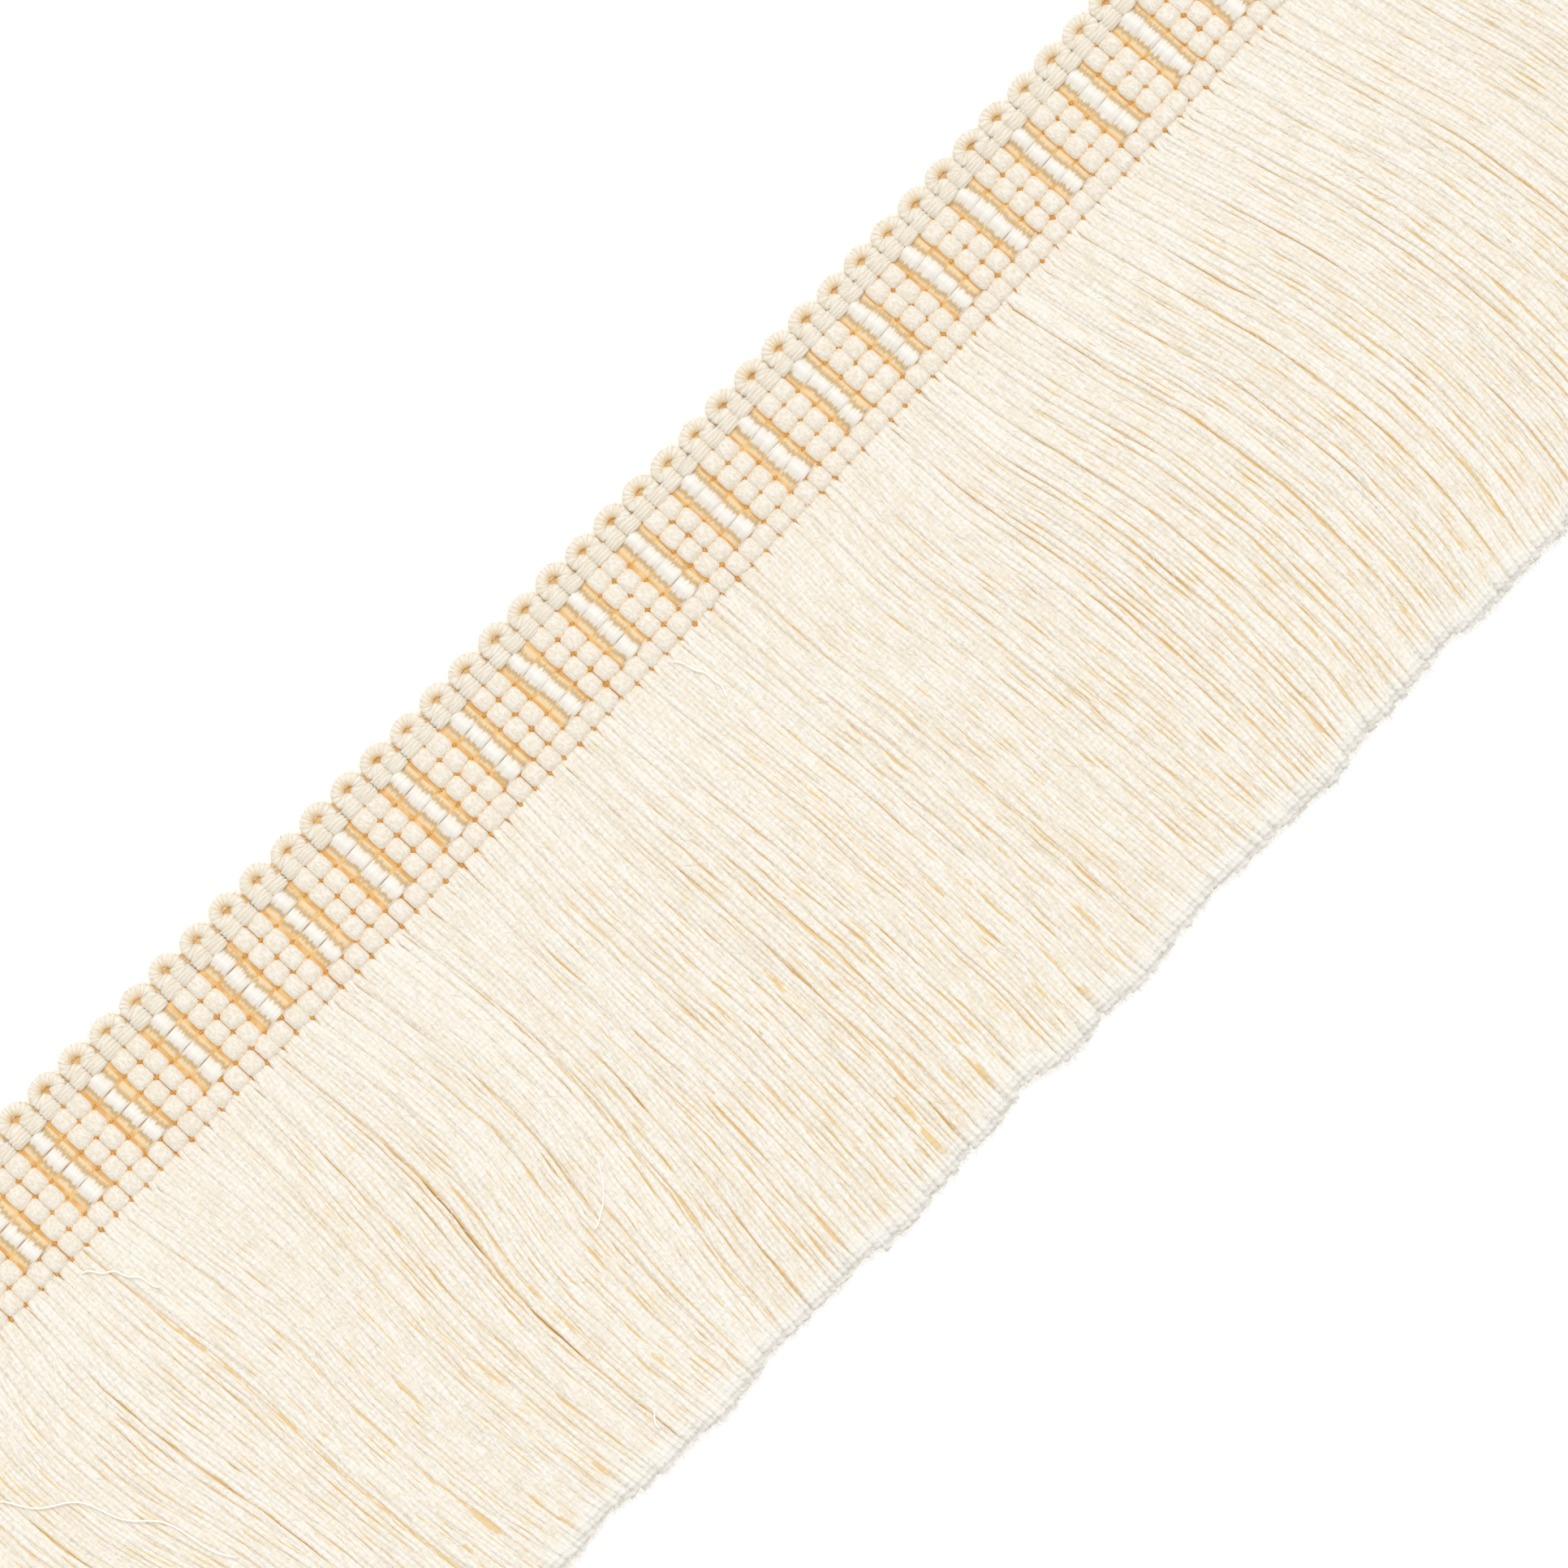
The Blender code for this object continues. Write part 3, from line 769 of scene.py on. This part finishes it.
# The hairs have a faint painted warm glow, which lifts their own shade.
lit_through(fluff_finish, fluff_shader, (0.04, 0.034, 0.024))
fluff_colour = tint.blend((0.89, 0.83, 0.71), (0.97, 0.95, 0.90))
fluff_colour.tree.links.new(fluff_colour.socket, fluff_shader.inputs["Base Color"])

# On the scallops they stand out all round the arch.
chance = np.random.default_rng(81)
fibre_scallop = np.repeat(np.arange(PASSES // 2), FIBRES_PER_SCALLOP)
fibre_bow = chance.uniform(-1.7, 1.7, len(fibre_scallop))
fibre_reach = chance.uniform(0.75, 1.45, len(fibre_scallop))
fibre_along = beaten((2 * fibre_scallop + 1) * PASS_PITCH - HALF_LENGTH)
fibre_along = fibre_along + ARCH_ALONG * np.sin(fibre_bow) * fibre_reach
fibre_across = ARCH_CENTRE + ARCH_ACROSS * np.cos(fibre_bow) * fibre_reach
fibre_roots = laid(fibre_along, fibre_across, chance.uniform(0.0011, 0.0017, len(fibre_scallop)))
fibre_turn = fibre_bow + chance.normal(0, 0.8, len(fibre_scallop))
fibre_climb = chance.uniform(-0.1, 0.3, len(fibre_turn))
fibre_ways = np.stack([np.sin(fibre_turn), np.cos(fibre_turn), fibre_climb], axis=-1)
fibre_lengths = chance.uniform(0.0003, 0.0009, len(fibre_turn))
scallop_fibres = loose_fibres(fibre_roots, fibre_ways, fibre_lengths, seed=82, half_width=0.00003)
skinned("scallop_fibres", scallop_fibres, fluff_finish, "heading_braid",
        chance.random((len(scallop_fibres), 1, 1)))

# Along the top strands they lie just above the strand and nearly along it.
strand_middles = strand_points.mean(axis=2)
fuzz_strand = chance.integers(0, len(strand_middles), FUZZ_COUNT)
fuzz_ring = chance.integers(2, strand_middles.shape[1] - 1, FUZZ_COUNT)
fuzz_roots = strand_middles[fuzz_strand, fuzz_ring]
fuzz_ways = strand_middles[fuzz_strand, fuzz_ring + 1] - fuzz_roots
fuzz_roots = fuzz_roots + fuzz_ways * chance.random((FUZZ_COUNT, 1))
fuzz_roots = fuzz_roots + chance.normal(0, 0.00018, (FUZZ_COUNT, 1)) * (1, 0, 0)
fuzz_roots[:, 2] += 0.00013
fuzz_ways = fuzz_ways / np.linalg.norm(fuzz_ways, axis=1, keepdims=True)
fuzz_ways = fuzz_ways + chance.normal(0, 0.2, (FUZZ_COUNT, 1)) * (1, 0, 0)
fuzz_lengths = chance.uniform(0.0006, 0.0018, FUZZ_COUNT)
fuzz = loose_fibres(fuzz_roots, fuzz_ways, fuzz_lengths, seed=84, half_width=0.00004)
skinned("strand_fuzz", fuzz, fluff_finish, "fringe_skirt",
        chance.random((FUZZ_COUNT, 1, 1)))

# At the cut ends they fan out past the end of the strand.
frayed = np.repeat(strand_middles[:, -1], FRAYS_PER_STRAND, axis=0)
frayed = frayed + chance.normal(0, 1, frayed.shape) * (0.00008, 0.00004, 0.00005) + (0, 0.00015, 0)
frayed_aside = chance.normal(0, 0.5, len(frayed))
frayed_climb = chance.normal(0, 0.25, len(frayed))
frayed_ways = np.stack([frayed_aside, -np.ones(len(frayed)), frayed_climb], axis=-1)
frayed_lengths = chance.uniform(0.0002, 0.0010, len(frayed))
frayed_fibres = loose_fibres(frayed, frayed_ways, frayed_lengths, seed=83, half_width=0.000034)
skinned("frayed_fibres", frayed_fibres, fluff_finish, "fringe_skirt",
        chance.random((len(frayed), 1, 1)))

# Stray threads: five thin white sewing ends, left over from the work. They lie loose on top of the
# strands, each in a soft bend with a slight ripple.
STRAY_WAYS = 0.001 * np.array([
    # start, bend and end of each thread, from the middle of the root line
    [(-118.0, -9.5), (-107.0, -17.5), (-102.2, -33.2)],
    [(-45.6, -31.4), (-47.2, -34.8), (-50.7, -36.0)],
    [(-92.1, -0.3), (-88.6, -2.9), (-87.4, -7.3)],
    [(-59.9, -53.8), (-61.4, -54.9), (-61.0, -55.6)],
    [(-1.9, 0.1), (0.6, -4.6), (-0.6, -6.6)],
])
STRAY_RINGS = 40
STRAY_LEVEL = 0.00186
STRAY_HALF_WIDTH = 0.00011

# Each is a curve of the second degree: start (1 - t) squared, bend 2 t (1 - t), end t squared.
stray_share = np.linspace(0, 1, STRAY_RINGS)[None, :, None]
stray_start, stray_bend, stray_end = (STRAY_WAYS[:, None, corner] for corner in range(3))
stray_flat = stray_start * (1 - stray_share) ** 2 + stray_bend * 2 * stray_share * (1 - stray_share)
stray_flat = stray_flat + stray_end * stray_share**2
stray_span = np.linalg.norm(STRAY_WAYS[:, 2] - STRAY_WAYS[:, 0], axis=1)[:, None, None]
stray_flat = stray_flat + 0.012 * stray_span * np.sin(stray_share * 19)
stray_levels = np.full((len(STRAY_WAYS), STRAY_RINGS, 1), STRAY_LEVEL)
stray_path = np.concatenate([stray_flat, stray_levels], axis=-1) + trim_place
stray_threads = tube(stray_path, STRAY_HALF_WIDTH, STRAY_HALF_WIDTH, 6)
skinned("stray_threads", stray_threads, fluff_finish, "fringe_skirt", 1.0)

# Table: a white sheet of board under the trim, wide enough to fill every view. It lies a hair below
# the trim, and has a little light of its own, so that it comes out white in the picture.
TABLE_HALF = 3.0
TABLE_DROP = 0.0003
floor_mesh = bpy.data.meshes.new("table")
floor_corners = [
    (-TABLE_HALF, -TABLE_HALF, -TABLE_DROP), (TABLE_HALF, -TABLE_HALF, -TABLE_DROP),
    (TABLE_HALF, TABLE_HALF, -TABLE_DROP), (-TABLE_HALF, TABLE_HALF, -TABLE_DROP),
]
floor_mesh.from_pydata(floor_corners, [], [(0, 1, 2, 3)])
white_board = bpy.data.materials.new("white_board")
white_board.use_nodes = True
board_shader = white_board.node_tree.nodes["Principled BSDF"]
board_shader.inputs["Base Color"].default_value = (0.96, 0.96, 0.96, 1.0)
board_shader.inputs["Roughness"].default_value = 0.9
board_shader.inputs["Specular IOR Level"].default_value = 0.1
board_shader.inputs["Emission Color"].default_value = (1.0, 1.0, 1.0, 1.0)
board_shader.inputs["Emission Strength"].default_value = 0.22
floor_mesh.materials.append(white_board)
table = bpy.data.objects.new("table", floor_mesh)
bpy.context.scene.collection.objects.link(table)

# Light: a bright even white room, and one large soft lamp from the side of the scallops, which
# gives the beads and the strands their faint shade.
room = bpy.data.worlds.new("white_room")
room.use_nodes = True
room_light = room.node_tree.nodes["Background"]
room_light.inputs["Color"].default_value = (1.0, 1.0, 1.0, 1.0)
room_light.inputs["Strength"].default_value = 0.85
bpy.context.scene.world = room
lamp = bpy.data.lights.new("soft_lamp", "SUN")
lamp.energy = 0.85
lamp.angle = math.radians(25)
lamp_stand = bpy.data.objects.new("soft_lamp", lamp)
lamp_stand.rotation_euler = (math.radians(-24), math.radians(26), 0)
bpy.context.scene.collection.objects.link(lamp_stand)
bpy.context.scene.view_settings.view_transform = "Standard"
bpy.context.scene.view_settings.look = "None"

# Camera: straight above the strands a little right of the trim's middle, turned so that the trim
# crosses the picture from the lower left to the upper right.
FRAME_WIDTH = 0.1662
VIEW_ALONG = -0.0030
VIEW_ACROSS = -0.0174
VIEW_TURN = -45.72
YARN_LEVEL = 0.0017
LENS = 100.0
SENSOR = 36.0
camera_data = bpy.data.cameras.new("camera")
camera_data.lens = LENS
camera_data.sensor_width = SENSOR
camera_data.clip_end = 20.0
camera = bpy.data.objects.new("camera", camera_data)
camera.location = (
    trim_place[0] + VIEW_ALONG,
    trim_place[1] + VIEW_ACROSS,
    FRAME_WIDTH * LENS / SENSOR + YARN_LEVEL,
)
camera.rotation_euler = (0.0, 0.0, math.radians(VIEW_TURN))
bpy.context.scene.collection.objects.link(camera)
bpy.context.scene.camera = camera
